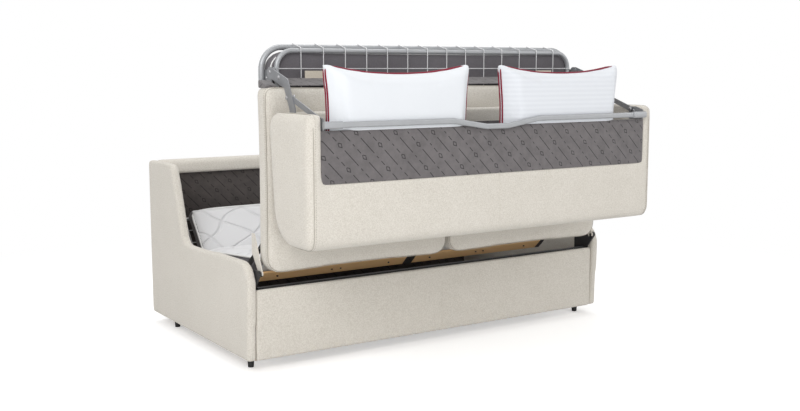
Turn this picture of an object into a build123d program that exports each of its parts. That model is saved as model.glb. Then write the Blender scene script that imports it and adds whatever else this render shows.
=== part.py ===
from build123d import *
from math import cos, radians, sin
import os

# Sofa bed, shown half way between sofa and bed: the seat stands up on its front edge,
# the back lies folded against it, and the mattress is half out of the base.
# X is to the right, Z is up. Heights are from the floor. While it is built, Y is 0 at
# the front edge of the arms and grows towards the rear. The last step centres it.

# Overall sizes
total_width = 1900
body_depth = 1080
body_height = 783
leg_height = 45
running_gap = 0.05
seat_gap = 2
overrun = 5

# Arms
arm_thickness = 40
arm_low_rear_height = 434
arm_low_front_height = 456
arm_high_length = 299
arm_slope_run = 123
arm_front_overhang = 13
arm_top_radius = 45
arm_inner_radius = 66
arm_front_radius = 95
arm_heel_radius = 12
arm_edge_radius = 6

# Front apron and back of the base
apron_thickness = 22
apron_height = 338
apron_side_gap = 4
apron_corner_radius = 8
back_panel_thickness = 36
lining_thickness = 8
roll_height = 67
roll_depth = 80
roll_radius = 24
base_rail_width = 38
base_rail_height = 50
base_cross_thickness = 24
base_cross_height = 18
leg_radius = 15
leg_foot_radius = 12
leg_collar = 8
leg_front_y = 95
leg_rear_inset = 185

# Front cross tube and its corner brackets
cross_tube_size = 21
cross_tube_top = 341
cross_tube_wall = 2
cross_tube_y = 25
corner_bracket_length = 100
corner_bracket_height = 38
corner_bracket_depth = 18
corner_bracket_rib = 4
corner_bracket_ribs = 5
corner_hole_radius = 9

# Fold of the seat on the base
hinge_y = -14
hinge_z = 406
hinge_plate = 5
hinge_ear_radius = 12
hinge_pin_radius = 6
hinge_plate_rear_y = 110
hinge_plate_foot_z = 300

# Seat section: seat cushions, wire base, tube frame and its mattress
seat_side_room = 25
seat_top_y = -58
seat_under_y = 40
seat_low_z = 405
seat_high_z = 1146
seat_split = 4
seat_crown = 8
seat_corner_radius = 62
seat_end_radius = 26
seat_edge_radius = 40
wire_radius = 2
wire_pitch = 104
wire_row_pitch = 66
frame_side_room = 133
frame_tube_radius = 10
frame_low_z = 480
frame_high_z = 1286
frame_bend_radius = 70
hoop_side_inset = 95
hoop_tube_radius = 12
hoop_y = 115
hoop_low_z = 1150
hoop_high_z = 1300
hoop_bend_radius = 90
mattress_side_room = 110
mattress_top_y = 146
mattress_gap = 0.3
mattress_low_z = 475
mattress_high_z = 1285
mattress_corner_radius = 80
mattress_edge_radius = 22
lining_strip_width = 72
lining_strip_rise = 28
lining_strip_thickness = 3
tab_width = 92
tab_height = 30
tab_thickness = 4
tab_inset = 165

# Fold of the mattress between seat section and middle section
fold_y = 155
fold_z = 465
fold_plate_inset = 90
fold_plate = 4
fold_plate_gap = 2
fold_ear_radius = 12
fold_pin_radius = 5

# Middle section, tilted a little down to the rear
middle_tilt = -5
middle_top_drop = 28
middle_thickness = 80
middle_start = 10
middle_rear_room = 452
middle_rear_bevel = 68
middle_frame_start = 107
middle_frame_rear_room = 13
middle_tube_radius = 9
board_length = 60
board_lean = 44
board_overhang = 7
board_thickness = 10
board_left_inset = 120
board_left_end = -45
board_right_start = 5
board_right_inset = 150
board_end_width = 28
board_hole_radius = 4
rib_end_shares = (0.3, 0.95)
board_hole_shares = (0.12, 0.48, 0.54, 0.88)

# Head section, standing up at the rear
head_tilt = 52
head_rear_room = 140
head_top_z = 557
head_length = 430
head_mattress = 74
head_frame = 14
head_bevel = 40
head_bracket_inset = 76
head_pin_radius = 5

# Back unit, folded upside down on the seat
unit_side_room = 24
unit_wall = 64
unit_front_y = -62
unit_rear_y = -400
unit_low_z = 541
unit_high_z = 1050
unit_crown_radius = 150
unit_lean = 50
unit_rear_radius = 50
unit_seat_radius = 60
unit_open_radius = 20
unit_edge_radius = 28
unit_panel = 14
unit_cushion = 88
unit_floor = 30
pocket_low_z = 803
pocket_high_z = 990
pocket_inner = 10
channel_width = 15

# Arms that swing the back unit over
swing_y = 40
swing_z = 1200
carry_y = -99.6
carry_z = 974.7
arm_link_inset = 98
arm_link = 4
arm_link_width = 42
knee_y = -97
knee_z = 1157
elbow_y = -152
elbow_z = 1052
strut_end_y = -332
strut_end_z = 1034
strut_width = 22
pin_radius = 5

# Support bar along the open edge of the pocket
bar_inset = 84
bar_height = 22
bar_thickness = 12
bar_left_z = 1010
bar_bow = 26
bar_bow_half = 110
bar_bow_centre = -20
bar_sleeve_length = 78
bar_sleeve_wall = 3
bracket_length = 84
bracket_rise = 34
bracket_thickness = 4

# Pillows in the pocket
pillow_end_room = 123
pillow_low_z = 745
pillow_high_z = 1243
pillow_side_z = 1208
pillow_thickness = 112
pillow_left_inset = 25.5
pillow_right_inset = 94.5

# Values that follow from the sizes above
half_width = total_width / 2
arm_inner_x = half_width - arm_thickness
seat_width = 2 * (arm_inner_x - seat_side_room)
frame_half_width = arm_inner_x - frame_side_room
hoop_half_width = arm_inner_x - hoop_side_inset
mattress_half_width = arm_inner_x - mattress_side_room
tab_centre_x = frame_half_width - tab_inset
fold_plate_x = arm_inner_x - fold_plate_inset
board_left_start = board_left_inset - arm_inner_x
board_right_end = arm_inner_x - board_right_inset
head_bracket_x = arm_inner_x - head_bracket_inset
unit_half_width = arm_inner_x - unit_side_room
arm_link_x = arm_inner_x - arm_link_inset
bar_half_width = arm_inner_x - bar_inset
leg_rear_y = body_depth - leg_rear_inset
head_top_y = body_depth - head_rear_room
middle_top_length = body_depth - middle_rear_room
middle_under_length = middle_top_length - middle_rear_bevel
middle_frame_length = middle_under_length - middle_frame_start - middle_frame_rear_room
panel_front_y = body_depth - back_panel_thickness
lining_front_y = panel_front_y - lining_thickness
frame_y = seat_under_y + 2 * wire_radius + frame_tube_radius + seat_gap / 4
net_y = seat_under_y + wire_radius + seat_gap / 4
bar_y = unit_rear_y - bar_thickness / 2 - bar_sleeve_wall
bar_front_y = bar_y - bar_thickness / 2 - bar_sleeve_wall
channel_low_z = carry_z - 6 * fold_ear_radius
centre_y = (bar_front_y + body_depth) / 2
unit_inner_x = unit_half_width - unit_wall
pillow_width = unit_inner_x - pillow_end_room
pillow_left_x = pillow_left_inset + pillow_width / 2 - unit_inner_x
pillow_right_x = unit_inner_x - pillow_right_inset - pillow_width / 2
pillow_centre_y = unit_rear_y + unit_panel + mattress_gap + pillow_thickness / 2
nodes = {}


def at_x(face, x_start, x_end):
    """Extrude a face drawn in (Y, Z) from one X to another."""
    return extrude(Plane.YZ.offset(x_start) * face, amount=x_end - x_start)


def rounded_face(corners):
    """A face from (u, v, radius) corners, each corner rounded by its radius."""
    face = make_face(Polyline(*[(u, v) for u, v, radius in corners], close=True))
    for u, v, radius in corners:
        if radius > 0:
            corner = min(face.vertices(), key=lambda p: (p.X - u) ** 2 + (p.Y - v) ** 2)
            face = fillet(corner, radius)
    return face


def pin(x_start, x_end, y, z, radius):
    """A pin along X."""
    return at_x(Pos(y, z) * Circle(radius), x_start, x_end)


def both_sides(shape):
    """The shape and its mirror image across the centre of the sofa bed."""
    return shape, mirror(shape, about=Plane.YZ)


def add_pair(name, shape):
    """Keep a shape built on the right side, and its mirror image on the left."""
    right, left = both_sides(shape)
    nodes[name + "_right"] = right
    nodes[name + "_left"] = left


def keep_both(name, shape):
    """Keep a small fitting of the right side and its mirror image as two solids of one node."""
    nodes[name] = Compound([solid for side in both_sides(shape) for solid in side.solids()])


def plate_with_ear(points, x_start, ear, radius, thickness, hole):
    """A plate in (Y, Z) with a round ear at its pivot and the pivot hole."""
    outline = make_face(Polyline(*points, close=True)) + Pos(*ear) * Circle(radius)
    outline -= Pos(*ear) * Circle(hole)
    return at_x(outline, x_start, x_start + thickness)


def bent_tube(points, bend, radius):
    """A round tube along straight runs joined by bends."""
    path = FilletPolyline(*points, radius=bend)
    start = path ^ 0
    return sweep(Plane(start.position, z_dir=(path % 0)) * Circle(radius), path=path)


def turned(distance, depth, origin, tilt):
    """A (Y, Z) point at a distance along a tilted section and a depth below it."""
    along_y, along_z = cos(radians(tilt)), sin(radians(tilt))
    return (origin[0] + distance * along_y + depth * along_z,
            origin[1] + distance * along_z - depth * along_y)


def padded(x_size, length, thickness, crown, near, far, draw):
    """A cushion lying in XY with its top up: crowned, with drawn-in sides and rounded near and far corners."""
    half, end = x_size / 2, length / 2
    plan = make_face([
        ThreePointArc((-half, -end + near), (-half + draw, 0), (-half, end - far)),
        RadiusArc((-half, end - far), (-half + far, end), far),
        ThreePointArc((-half + far, end), (0, end - draw), (half - far, end)),
        RadiusArc((half - far, end), (half, end - far), far),
        ThreePointArc((half, end - far), (half - draw, 0), (half, -end + near)),
        RadiusArc((half, -end + near), (half - near, -end), near),
        ThreePointArc((half - near, -end), (0, -end + draw), (-half + near, -end)),
        RadiusArc((-half + near, -end), (-half, -end + near), near),
    ])
    block = extrude(plan, amount=thickness)
    across = crowned_profile(half + overrun, thickness, crown)
    along = crowned_profile(end + overrun, thickness, crown)
    block &= extrude(Plane.XZ.offset(-end - overrun) * across, amount=length + 2 * overrun)
    return block & extrude(Plane.YZ.offset(-half - overrun) * along, amount=x_size + 2 * overrun)


def crowned_profile(half, thickness, crown):
    """A profile that is highest in the middle and falls by the crown at its ends."""
    return make_face([
        Line((-half, -overrun), (half, -overrun)),
        Line((half, -overrun), (half, thickness - crown)),
        ThreePointArc((half, thickness - crown), (0, thickness), (-half, thickness - crown)),
        Line((-half, thickness - crown), (-half, -overrun)),
    ])


def net(x_half, length, columns, rows):
    """A welded wire net in XY, one holed sheet as thick as its wires."""
    wire = 2 * wire_radius
    x_step, y_step = 2 * x_half / columns, length / rows
    gap = Rectangle(x_step - wire, y_step - wire)
    gaps = [(place * gap).wire() for place in GridLocations(x_step, y_step, columns, rows)]
    sheet = Face(Rectangle(2 * x_half + wire, length + wire).wire(), gaps)
    return Pos(0, 0, -wire_radius) * extrude(sheet, amount=wire)


# Base

def make_arm():
    high_front = body_depth - arm_high_length
    profile = rounded_face([
        (body_depth, leg_height, arm_edge_radius),
        (body_depth, body_height, arm_heel_radius),
        (high_front, body_height, arm_top_radius),
        (high_front - arm_slope_run, arm_low_rear_height, arm_inner_radius),
        (-arm_front_overhang, arm_low_front_height, arm_front_radius),
        (0, leg_height, arm_edge_radius),
    ])
    arm = at_x(profile, arm_inner_x, half_width)
    outer = arm.faces().sort_by(Axis.X)[-1]
    return fillet(outer.edges(), arm_edge_radius)


def make_base():
    add_pair("arm", make_arm())
    apron_half = arm_inner_x - apron_side_gap
    apron_z = (leg_height + apron_height) / 2
    apron = Pos(0, apron_thickness / 2, apron_z) * Box(
        2 * apron_half, apron_thickness, apron_height - leg_height)
    front = apron.faces().sort_by(Axis.Y)[0]
    nodes["front_apron"] = fillet(front.edges(), apron_corner_radius)
    panel_top = body_height - roll_height
    nodes["back_panel"] = Pos(0, body_depth - back_panel_thickness / 2, (leg_height + panel_top) / 2) * Box(
        2 * arm_inner_x, back_panel_thickness, panel_top - leg_height)
    nodes["back_lining"] = Pos(0, panel_front_y - lining_thickness / 2, (leg_height + panel_top) / 2) * Box(
        2 * arm_inner_x, lining_thickness, panel_top - leg_height)
    roll = rounded_face([
        (body_depth - roll_depth, panel_top, roll_radius / 2),
        (body_depth, panel_top, 0),
        (body_depth, body_height, roll_radius / 2),
        (body_depth - roll_depth, body_height, roll_radius),
    ])
    nodes["back_top_roll"] = at_x(roll, -arm_inner_x, arm_inner_x)
    rail_x = arm_inner_x - base_rail_width / 2
    rail_length = lining_front_y - apron_thickness
    rail = Pos(rail_x, apron_thickness + rail_length / 2, leg_height + base_rail_height / 2) * Box(
        base_rail_width, rail_length, base_rail_height)
    keep_both("side_rails", rail)
    cross = Box(2 * (arm_inner_x - base_rail_width), base_cross_thickness, base_cross_height)
    nodes["base_rear_rail"] = Pos(
        0, lining_front_y - base_cross_thickness / 2, leg_height + base_cross_height / 2) * cross
    nodes["base_front_rail"] = Pos(
        0, apron_thickness + base_cross_thickness / 2, leg_height + base_cross_height / 2) * cross
    leg = Cone(leg_foot_radius, leg_radius, leg_height - leg_collar, align=(Align.CENTER, Align.CENTER, Align.MIN))
    leg += Pos(0, 0, leg_height - leg_collar) * Cylinder(
        leg_radius, leg_collar, align=(Align.CENTER, Align.CENTER, Align.MIN))
    legs = [Pos(side * (rail_x + leg_collar / 2), leg_y, 0) * leg
            for side in (-1, 1) for leg_y in (leg_front_y, leg_rear_y)]
    nodes["legs"] = Compound(legs)


def make_cross_tube():
    half = arm_inner_x - 4 * hinge_plate - seat_gap
    outer = Rectangle(cross_tube_size, cross_tube_size)
    outer = fillet(outer.vertices(), cross_tube_wall)
    inner = Rectangle(cross_tube_size - 2 * cross_tube_wall, cross_tube_size - 2 * cross_tube_wall)
    place = Pos(cross_tube_y + cross_tube_size / 2, cross_tube_top - cross_tube_size / 2)
    nodes["front_cross_tube"] = at_x(place * (outer - inner), -half, half)


def make_corner_bracket():
    """Black bracket in the front corner: a plate on the arm and a ribbed shelf under the tube."""
    plate = make_face(Polyline(
        (hinge_y - hinge_ear_radius / 2, hinge_z - hinge_ear_radius),
        (apron_thickness + seat_gap, apron_height + seat_gap),
        (apron_thickness + seat_gap, hinge_plate_foot_z),
        (hinge_plate_rear_y, hinge_plate_foot_z),
        (hinge_plate_rear_y, hinge_z - hinge_ear_radius),
        (hinge_y + 2 * hinge_ear_radius, hinge_z + hinge_ear_radius),
        (hinge_y, hinge_z + hinge_ear_radius), close=True))
    plate += Pos(hinge_y, hinge_z) * Circle(hinge_ear_radius)
    body = at_x(plate, arm_inner_x - 2 * hinge_plate, arm_inner_x)
    shelf_top = cross_tube_top - cross_tube_size
    shelf_low = shelf_top - corner_bracket_height
    outer_x = arm_inner_x - 2 * hinge_plate
    shelf = Pos(outer_x - corner_bracket_length / 2, cross_tube_y + corner_bracket_depth / 2,
                (shelf_low + shelf_top) / 2) * Box(corner_bracket_length, corner_bracket_depth, corner_bracket_height)
    pocket = Box(corner_bracket_length / corner_bracket_ribs - corner_bracket_rib, corner_bracket_depth,
                 corner_bracket_height - 2 * corner_bracket_rib)
    for index in range(corner_bracket_ribs):
        pocket_x = outer_x - corner_bracket_length * (index + 0.5) / corner_bracket_ribs
        shelf -= Pos(pocket_x, cross_tube_y + corner_bracket_depth / 2 + corner_bracket_rib,
                     (shelf_low + shelf_top) / 2) * pocket
    shelf -= Pos(outer_x - corner_bracket_length * 0.7, cross_tube_y, (shelf_low + shelf_top) / 2) * Rot(
        90, 0, 0) * Cylinder(corner_hole_radius, 2 * corner_bracket_depth)
    body += shelf
    body += pin(arm_inner_x - 4 * hinge_plate - seat_gap, arm_inner_x - hinge_plate, hinge_y, hinge_z,
                hinge_pin_radius)
    add_pair("corner_bracket", body)


def make_head_bracket():
    """Plate on the back panel that carries the head section's pivot."""
    pivot = head_pivot()
    low, high = pivot[1] - 3 * fold_ear_radius, pivot[1] + 3 * fold_ear_radius
    body = plate_with_ear(
        [(pivot[0], pivot[1] - fold_ear_radius), (lining_front_y, low), (lining_front_y, high),
         (pivot[0], pivot[1] + fold_ear_radius)],
        head_bracket_x, pivot, fold_ear_radius, fold_plate, head_pin_radius / 2)
    flange = Pos(head_bracket_x + 2 * fold_ear_radius, lining_front_y - fold_plate / 2, pivot[1]) * Box(
        4 * fold_ear_radius, fold_plate, high - low)
    body += flange
    body += pin(fold_plate_x - fold_plate_gap, head_bracket_x + fold_plate, pivot[0], pivot[1], head_pin_radius)
    keep_both("head_brackets", body)


# Seat section

def make_seat_cushions():
    width = (seat_width - seat_split) / 2
    length = seat_high_z - seat_low_z
    thickness = seat_under_y - seat_top_y
    cushion = padded(width, length, thickness, seat_crown, seat_corner_radius, seat_end_radius, seat_crown / 2)
    under = cushion.faces().sort_by(Axis.Z)[0]
    cushion = fillet(under.edges(), seat_edge_radius / 2)
    standing = Plane((0, seat_under_y, (seat_low_z + seat_high_z) / 2), x_dir=(1, 0, 0), z_dir=(0, -1, 0))
    cushion = standing.location * cushion
    shift = (width + seat_split) / 2
    nodes["seat_cushion_left"] = Pos(-shift, 0, 0) * cushion
    nodes["seat_cushion_right"] = Pos(shift, 0, 0) * cushion


def make_seat_frame():
    side, tube_y = frame_half_width, frame_y
    nodes["seat_frame_tube"] = bent_tube(
        [(-side, tube_y, frame_low_z), (-side, tube_y, frame_high_z), (side, tube_y, frame_high_z),
         (side, tube_y, frame_low_z)], frame_bend_radius, frame_tube_radius)
    lower = pin(-side + frame_tube_radius, side - frame_tube_radius, tube_y, frame_low_z + frame_tube_radius,
                frame_tube_radius)
    nodes["seat_frame_cross_tube"] = lower
    rise = seat_high_z - frame_low_z - frame_tube_radius
    columns = round(2 * side / wire_pitch)
    rows = round(rise / wire_row_pitch)
    sheet = net(side, rise, columns, rows)
    nodes["seat_wire_net"] = Pos(0, net_y, seat_high_z - rise / 2) * Rot(90, 0, 0) * sheet
    hoop_side = hoop_half_width
    nodes["foot_hoop"] = bent_tube(
        [(-hoop_side, hoop_y, hoop_low_z), (-hoop_side, hoop_y, hoop_high_z), (hoop_side, hoop_y, hoop_high_z),
         (hoop_side, hoop_y, hoop_low_z)], hoop_bend_radius, hoop_tube_radius)
    step = 2 * side / columns
    strand = bent_tube(
        [(0, net_y, frame_high_z - frame_tube_radius + wire_radius),
         (0, net_y, frame_high_z + frame_tube_radius + wire_radius),
         (0, hoop_y, hoop_high_z + hoop_tube_radius + 1.5 * wire_radius)],
        2 * wire_radius, wire_radius)
    strands = [Pos(step * (index - columns / 2), 0, 0) * strand for index in range(1, columns)]
    nodes["foot_end_wires"] = Compound(strands)
    nodes["foot_end_net"] = foot_end_net(side, step, columns)


def foot_end_net(side, step, columns):
    """Upright wires that carry the net on to the foot end, and the wire welded across them."""
    low, high = seat_high_z + wire_radius, frame_high_z - frame_tube_radius + wire_radius
    upright = Pos(0, net_y, (low + high) / 2) * Cylinder(wire_radius, high - low)
    wires = [Pos(step * (index - columns / 2), 0, 0) * upright for index in range(1, columns)]
    return Compound(wires + [pin(-side, side, net_y - 2 * wire_radius, low + wire_row_pitch, wire_radius)])


def make_seat_hinges():
    side = frame_half_width + frame_tube_radius
    plate_x = arm_inner_x - 4 * hinge_plate
    plate = plate_with_ear(
        [(hinge_y - hinge_ear_radius, hinge_z), (hinge_y + hinge_ear_radius, hinge_z - hinge_ear_radius),
         (frame_y + frame_tube_radius, frame_low_z), (frame_y + frame_tube_radius, frame_low_z + 2 * seat_edge_radius),
         (frame_y - frame_tube_radius, frame_low_z + 2 * seat_edge_radius)],
        plate_x, (hinge_y, hinge_z), hinge_ear_radius, hinge_plate, hinge_pin_radius + running_gap)
    arm_bar = Pos((side + plate_x + hinge_plate) / 2, frame_y, frame_low_z + frame_tube_radius) * Box(
        plate_x + hinge_plate - side, frame_tube_radius, frame_tube_radius)
    keep_both("seat_hinge_plates", plate + arm_bar)
    fold = plate_with_ear(
        [(fold_y - fold_ear_radius, fold_z - fold_ear_radius / 2), (fold_y + fold_ear_radius / 2, fold_z + fold_ear_radius),
         (frame_y + frame_tube_radius, frame_low_z + 2 * seat_edge_radius),
         (frame_y - frame_tube_radius / 2, frame_low_z + 2 * seat_edge_radius),
         (frame_y - frame_tube_radius / 2, frame_low_z + seat_edge_radius)],
        fold_plate_x, (fold_y, fold_z), fold_ear_radius, fold_plate, fold_pin_radius / 2)
    fold += pin(fold_plate_x, fold_plate_x + 3 * fold_plate, fold_y, fold_z, fold_pin_radius)
    fold += Pos((side + fold_plate_x) / 2, frame_y, frame_low_z + 1.5 * seat_edge_radius) * Box(
        fold_plate_x - side, frame_tube_radius, frame_tube_radius)
    keep_both("fold_hinge_plates", fold)
    low, high = hoop_low_z, hoop_high_z - hoop_bend_radius
    gusset_x = mattress_half_width + seat_gap / 2
    gusset = rounded_face([
        (frame_y - frame_tube_radius, low, frame_tube_radius / 2), (hoop_y, low, frame_tube_radius / 2),
        (hoop_y, high, frame_tube_radius / 2), (frame_y - frame_tube_radius, high, frame_tube_radius / 2)])
    gusset += Pos(swing_y, swing_z) * Circle(arm_link_width / 2)
    gusset_plate = at_x(gusset, gusset_x, gusset_x + arm_link)
    gusset_plate += Pos((side + gusset_x) / 2, frame_y, (low + high) / 2) * Box(
        gusset_x - side, frame_tube_radius, 2 * frame_tube_radius)
    gusset_plate -= hoop_side_room()
    gusset_plate += pin(gusset_x, arm_link_x + 2 * arm_link, swing_y, swing_z, pin_radius)
    keep_both("hoop_plates", gusset_plate)


def hoop_side_room():
    """The room that the hoop's side tube takes."""
    return Pos(hoop_half_width, hoop_y, (hoop_low_z + hoop_high_z) / 2) * Cylinder(
        hoop_tube_radius, hoop_high_z - hoop_low_z)


def make_foot_mattress():
    length = mattress_high_z - mattress_low_z
    thickness = mattress_top_y - frame_y - frame_tube_radius - mattress_gap
    corner = mattress_corner_radius
    pad = padded(2 * mattress_half_width, length, thickness, seat_crown / 2, corner, corner, seat_crown / 2)
    lying = Plane((0, frame_y + frame_tube_radius + mattress_gap, (mattress_low_z + mattress_high_z) / 2),
                  x_dir=(-1, 0, 0), z_dir=(0, 1, 0))
    nodes["foot_mattress"] = lying.location * pad
    rear_y, front_y = seat_under_y - mattress_gap, seat_under_y - lining_strip_width
    slope = lining_strip_rise / (rear_y - front_y)
    top_z = seat_high_z + lining_strip_thickness
    strip = make_face(Polyline(
        (front_y, seat_high_z), (rear_y, seat_high_z + lining_strip_rise), (rear_y, top_z + lining_strip_rise),
        (front_y, top_z), close=True))
    strip_half = arm_link_x - arm_link
    nodes["seat_edge_lining"] = at_x(strip, -strip_half, strip_half)
    tab_y = rear_y - tab_thickness
    tab_z = top_z + slope * (tab_y - front_y)
    tab = make_face(Polyline(
        (tab_y, tab_z), (rear_y, top_z + lining_strip_rise), (rear_y, tab_z + tab_height), (tab_y, tab_z + tab_height),
        close=True))
    tabs = [at_x(tab, side * tab_centre_x - tab_width / 2, side * tab_centre_x + tab_width / 2) for side in (-1, 1)]
    nodes["pull_tabs"] = Compound([solid for tab in tabs for solid in tab.solids()])


# Middle section

def make_middle():
    fold = (fold_y, fold_z)

    def point(distance, depth):
        return turned(distance, depth, fold, middle_tilt)

    under = middle_top_drop + middle_thickness
    side = rounded_face([
        (*point(middle_start, middle_top_drop), mattress_edge_radius),
        (*point(middle_start, middle_top_drop + middle_thickness / 3), mattress_edge_radius / 8),
        (*point(middle_frame_start, under), mattress_edge_radius),
        (*point(middle_under_length, under), mattress_edge_radius / 2),
        (*point(middle_top_length, middle_top_drop), mattress_edge_radius / 2),
    ])
    nodes["middle_mattress"] = at_x(side, -mattress_half_width, mattress_half_width)
    net_depth = under + mattress_gap + wire_radius
    tube_depth = net_depth + wire_radius + middle_tube_radius
    near_at = middle_frame_start + middle_tube_radius
    far_at = near_at + middle_frame_length
    near, far = point(near_at, tube_depth), point(far_at, tube_depth)
    rim = mattress_half_width + middle_tube_radius
    corners = [(-rim, *near), (-rim, *far), (rim, *far), (rim, *near)]
    nodes["middle_frame_tube"] = bent_tube(corners, frame_bend_radius / 2, middle_tube_radius)
    nodes["middle_front_tube"] = pin(-rim + middle_tube_radius, rim - middle_tube_radius, *near, middle_tube_radius)
    columns = round(2 * rim / wire_pitch)
    rows = round(middle_frame_length / wire_row_pitch)
    centre = point((near_at + far_at) / 2, net_depth)
    sheet = net(rim, middle_frame_length, columns, rows)
    nodes["middle_wire_net"] = Pos(0, *centre) * Rot(middle_tilt, 0, 0) * sheet
    ear_x = fold_plate_x + fold_plate + fold_plate_gap
    anchor = point(middle_frame_start + frame_bend_radius, tube_depth)
    outline = bar_between(fold, anchor, fold_ear_radius) + Pos(*fold) * Circle(fold_ear_radius)
    outline += Pos(*anchor) * Circle(fold_ear_radius)
    outline -= Pos(*fold) * Circle(fold_pin_radius + running_gap)
    plate = at_x(outline, ear_x, ear_x + fold_plate)
    plate += pin(rim + middle_tube_radius, ear_x + fold_plate, *anchor, middle_tube_radius / 2)
    keep_both("middle_hinge_plates", plate)
    make_front_boards(near)


def make_front_boards(near):
    """Plywood boards across the front of the middle section, with their brackets."""
    run_y, run_z = board_length * cos(radians(board_lean)), -board_length * sin(radians(board_lean))
    step_y, step_z = -run_z / board_length * board_thickness, run_y / board_length * board_thickness
    away = (middle_tube_radius + board_thickness + running_gap) / board_thickness
    slide = board_overhang / board_length
    foot_y, foot_z = near[0] - away * step_y + slide * run_y, near[1] - away * step_z + slide * run_z
    top_y, top_z = foot_y - run_y, foot_z - run_z
    face = make_face(Polyline(
        (top_y, top_z), (foot_y, foot_z), (foot_y + step_y, foot_z + step_z), (top_y + step_y, top_z + step_z),
        close=True))
    drill = Rot(-board_lean, 0, 0) * Cylinder(board_hole_radius, 4 * board_thickness)
    for name, start, end in (("front_board_left", board_left_start, board_left_end),
                             ("front_board_right", board_right_start, board_right_end)):
        board = at_x(face, start, end)
        for share in board_hole_shares:
            hole = Pos(start + (end - start) * share, (top_y + foot_y) / 2, (top_z + foot_z) / 2) * drill
            board -= hole
        nodes[name] = board
    back = [(top_y + step_y + run_y * share, top_z + step_z + run_z * share)
            for share in rib_end_shares]
    rib = make_face(Polyline(*back, near, close=True)) - Pos(*near) * Circle(middle_tube_radius)
    centre = at_x(face, board_left_end, board_right_start)
    for rib_x in (board_left_end, board_right_start - fold_plate):
        centre += at_x(rib, rib_x, rib_x + fold_plate)
    centre -= Pos((board_left_end + board_right_start) / 2, (top_y + foot_y) / 2, (top_z + foot_z) / 2) * drill
    nodes["centre_bracket"] = centre
    end = at_x(face, board_right_end, board_right_end + board_end_width)
    for index in range(3):
        rib_x = board_right_end + (board_end_width - fold_plate) * index / 2
        end += at_x(rib, rib_x, rib_x + fold_plate)
    nodes["board_end_bracket"] = end


# Head section

def head_pivot():
    thickness = head_mattress + head_frame
    return turned(0, thickness, (head_top_y, head_top_z), head_tilt)


def make_head():
    top = (head_top_y, head_top_z)

    def point(distance, depth):
        return turned(-distance, depth, top, head_tilt)

    side = rounded_face([
        (*point(0, 0), mattress_edge_radius), (*point(head_length, 0), mattress_edge_radius),
        (*point(head_length - head_bevel, head_mattress), mattress_edge_radius),
        (*point(0, head_mattress), mattress_edge_radius / 2)])
    nodes["head_mattress"] = at_x(side, -mattress_half_width, mattress_half_width)
    net_depth = head_mattress + mattress_gap + wire_radius
    depth = net_depth + wire_radius + head_frame / 2
    rim = mattress_half_width + head_frame / 2
    far_at = head_length - 2 * head_bevel
    near, far = point(head_frame, depth), point(far_at, depth)
    nodes["head_frame_tube"] = bent_tube(
        [(-rim, *near), (-rim, *far), (rim, *far), (rim, *near)], frame_bend_radius / 2, head_frame / 2)
    nodes["head_cross_tube"] = pin(-rim + head_frame / 2, rim - head_frame / 2, *near, head_frame / 2)
    columns = round(2 * rim / wire_pitch)
    rows = round((far_at - head_frame) / wire_row_pitch)
    centre = point((head_frame + far_at) / 2, net_depth)
    sheet = net(rim, far_at - head_frame, columns, rows)
    nodes["head_wire_net"] = Pos(0, *centre) * Rot(head_tilt, 0, 0) * sheet
    pivot = head_pivot()
    half = head_frame / 2
    plate = plate_with_ear(
        [point(0, depth - half), point(6 * head_frame, depth - half), point(6 * head_frame, depth + half),
         point(0, depth + 2 * half)],
        fold_plate_x + fold_plate_gap, pivot, fold_ear_radius, fold_plate, head_pin_radius + running_gap)
    plate += pin(rim + half, fold_plate_x + fold_plate_gap, *point(4 * head_frame, depth), half / 2)
    keep_both("head_hinge_plates", plate)


# Back unit

def unit_outline(grow):
    """Side outline of the folded back unit, moved inwards by grow."""
    return rounded_face([
        (unit_front_y - grow, unit_high_z, unit_seat_radius),
        (unit_front_y - unit_lean - grow, unit_low_z + grow, unit_crown_radius),
        (unit_rear_y + grow, unit_low_z + grow, unit_rear_radius),
        (unit_rear_y + grow, unit_high_z, unit_open_radius),
    ])


def make_unit():
    side = at_x(unit_outline(0), unit_inner_x, unit_half_width)
    outer = side.faces().sort_by(Axis.X)[-1]
    side = fillet(outer.edges(), unit_edge_radius)
    add_pair("unit_side", side)
    inner_x = unit_inner_x
    whole = at_x(unit_outline(0), -inner_x, inner_x)
    floor_z = unit_low_z + unit_floor
    room = Pos(0, (unit_front_y - unit_cushion + unit_rear_y + unit_panel) / 2, (floor_z + unit_high_z + overrun) / 2)
    room *= Box(2 * inner_x, unit_front_y - unit_cushion - unit_rear_y - unit_panel, unit_high_z + overrun - floor_z)
    shell = whole - room
    front_cut = Pos(0, unit_front_y - unit_cushion / 2, (unit_low_z + unit_high_z) / 2) * Box(
        2 * inner_x, unit_cushion, unit_high_z - unit_low_z)
    cushion = shell & front_cut
    for direction in (-1, 1):
        channel_x = direction * (inner_x - channel_width / 2)
        cushion -= Pos(channel_x, unit_front_y - unit_cushion / 2, (channel_low_z + unit_high_z) / 2) * Box(
            channel_width, unit_cushion, unit_high_z - channel_low_z)
    nodes["back_cushion"] = cushion
    rear = shell - front_cut
    above = Pos(0, unit_rear_y + unit_panel / 2, (pocket_low_z + unit_high_z) / 2) * Box(
        2 * inner_x, unit_panel, unit_high_z - pocket_low_z)
    nodes["unit_rear_shell"] = rear - above
    pocket = Box(2 * inner_x, pocket_inner, pocket_high_z - pocket_low_z)
    nodes["pocket_panel"] = Pos(0, unit_rear_y + pocket_inner / 2, (pocket_low_z + pocket_high_z) / 2) * pocket
    divider_y = unit_front_y - unit_cushion - pocket_inner / 2
    nodes["unit_divider"] = Pos(0, divider_y, (floor_z + unit_high_z - unit_seat_radius) / 2) * Box(
        2 * (inner_x - channel_width), pocket_inner, unit_high_z - unit_seat_radius - floor_z)


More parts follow.
